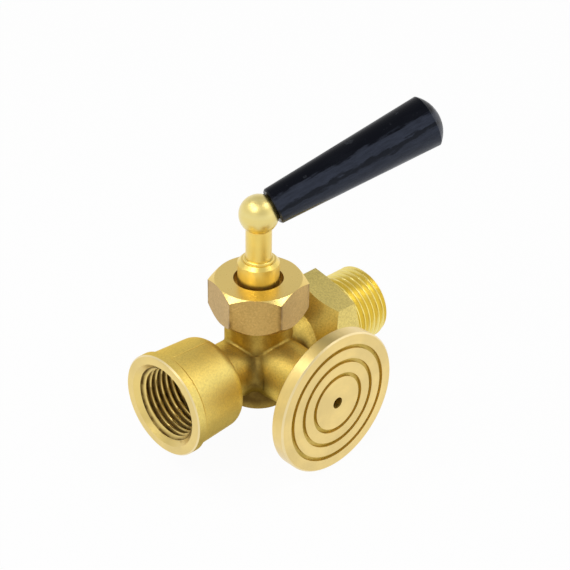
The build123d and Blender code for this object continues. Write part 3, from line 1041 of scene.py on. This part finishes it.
FLOOR_REACH = 3.0
FLOOR_DROP = 0.5 * MM
FLOOR_WHITE = 0.96
TENT_TOP = 0.8
BRIGHT_SIDE = (0.8, -0.6, 0.0)
BRIGHT_START = 0.5
SENSOR = 36.0
NEAREST = 0.01

# Square lamps: name, place, width in metres, power in watts
LAMP_AIM = (PORTS.x, 0.0, 0.02)
LAMPS = (
    ("key", (-0.55, -0.05, 0.75), 0.32, 2.0),
    ("left", (-0.37, 0.34, 0.72), 0.22, 0.9),
    ("right", (0.33, -0.34, 0.72), 0.25, 1.1),
)


def area_light(name, place, size, power):
    """A square lamp that faces the valve."""
    data = bpy.data.lights.new(name, "AREA")
    data.shape = "RECTANGLE"
    data.size = data.size_y = size
    data.energy = power
    lamp = linked(name, data)
    lamp.location = place
    lamp.rotation_euler = (Vector(LAMP_AIM) - Vector(place)).to_track_quat("-Z", "Y").to_euler()


def studio_world(stage):
    """White to the camera, in reflections a soft tent, darker overhead, with one bright side, and a dim light."""
    world = bpy.data.worlds.new("white studio")
    world.use_nodes = True
    t = Tree(world.node_tree)
    background = world.node_tree.nodes["Background"]
    rays = t.add("ShaderNodeLightPath").outputs
    shown = t.math("MAXIMUM", rays["Is Camera Ray"], rays["Is Transmission Ray"])
    towards = t.add("ShaderNodeTexCoord").outputs["Generated"]
    height = t.add("ShaderNodeSeparateXYZ", towards).outputs[2]
    tent = t.ramp(height, 0.0, TENT_TOP, stage.tent_low, stage.tent_high, smooth=True)
    side = t.vector("DOT_PRODUCT", towards, BRIGHT_SIDE)
    tent = t.math("ADD", tent, t.ramp(side, BRIGHT_START, 1.0, 0.0, stage.tent_side, smooth=True))
    lit = t.add("ShaderNodeMix", inputs={0: rays["Is Glossy Ray"], 2: stage.surround, 3: tent})
    t.join(t.add("ShaderNodeMix", inputs={0: shown, 2: lit, 3: 1.0}), background.inputs["Strength"])
    background.inputs["Color"].default_value = (1, 1, 1, 1)
    bpy.context.scene.world = world


def floor_material(stage):
    """Pale floor that shows white to the camera and keeps a faint shadow."""
    material, t, shader = finish_material("pale floor")
    shader.inputs["Base Color"].default_value = colour(stage.floor)
    shader.inputs["Roughness"].default_value = 0.8
    rays = t.add("ShaderNodeLightPath").outputs
    glow = t.add("ShaderNodeEmission", (1, 1, 1, 1), 1.0)
    share = t.math("ADD", t.product(rays["Is Camera Ray"], FLOOR_WHITE),
                   t.product(rays["Is Glossy Ray"], stage.floor_glow))
    mixed = t.add("ShaderNodeMixShader", share, shader, glow)
    t.join(mixed, material.node_tree.nodes["Material Output"].inputs["Surface"])
    return material


class COCK_OT_stage(bpy.types.Operator):
    """Set the floor, the lights, the white surroundings and the camera"""
    bl_idname = "cock.stage"
    bl_label = "Studio"

    def execute(self, context):
        stage = context.scene.cock_stage
        level = CAD_BOX[0][2] - FLOOR_DROP
        far = FLOOR_REACH
        mesh = bpy.data.meshes.new("floor")
        mesh.from_pydata([(-far, -far, level), (far, -far, level), (far, far, level), (-far, far, level)],
                         [], [(0, 1, 2, 3)])
        floor = linked("floor", mesh)
        mesh.materials.append(floor_material(stage))
        for lamp in LAMPS:
            area_light(*lamp)
        studio_world(stage)
        lens = bpy.data.cameras.new("camera")
        lens.lens = stage.lens
        lens.sensor_width = SENSOR
        lens.clip_start = NEAREST
        camera = linked("camera", lens)
        turn = Matrix.Rotation(stage.azimuth, 4, "Z") @ Matrix.Rotation(math.pi / 2 - stage.elevation, 4, "X")
        camera.matrix_world = Matrix.Translation(stage.place) @ turn @ Matrix.Rotation(stage.roll, 4, "Z")
        context.scene.camera = camera
        context.scene.view_settings.view_transform = "Standard"
        return {"FINISHED"}


# Add-on

OPERATORS = (COCK_OT_body, COCK_OT_valleys, COCK_OT_seam, COCK_OT_finishes, COCK_OT_stage)
SETTINGS = {
    "cock_threads": ThreadSettings,
    "cock_valleys": ValleySettings,
    "cock_seam": SeamSettings,
    "cock_finish": FinishSettings,
    "cock_stage": StageSettings,
}


class COCK_PT_panel(bpy.types.Panel):
    """Lists the pieces of the gauge cock"""
    bl_idname = "COCK_PT_panel"
    bl_label = "Gauge cock"
    bl_space_type = "VIEW_3D"
    bl_region_type = "UI"
    bl_category = "Gauge cock"

    def draw(self, context):
        for operator in OPERATORS:
            self.layout.operator(operator.bl_idname)


def register():
    for group in SETTINGS.values():
        bpy.utils.register_class(group)
    for operator in OPERATORS:
        bpy.utils.register_class(operator)
    bpy.utils.register_class(COCK_PT_panel)
    for name, group in SETTINGS.items():
        setattr(bpy.types.Scene, name, bpy.props.PointerProperty(type=group))


def unregister():
    for name in SETTINGS:
        delattr(bpy.types.Scene, name)
    bpy.utils.unregister_class(COCK_PT_panel)
    for operator in OPERATORS:
        bpy.utils.unregister_class(operator)
    for group in SETTINGS.values():
        bpy.utils.unregister_class(group)


def main():
    register()
    bpy.ops.cock.body()
    bpy.ops.cock.valleys()
    bpy.ops.cock.seam()
    bpy.ops.cock.finishes()
    bpy.ops.cock.stage()


if __name__ == "__main__":
    main()
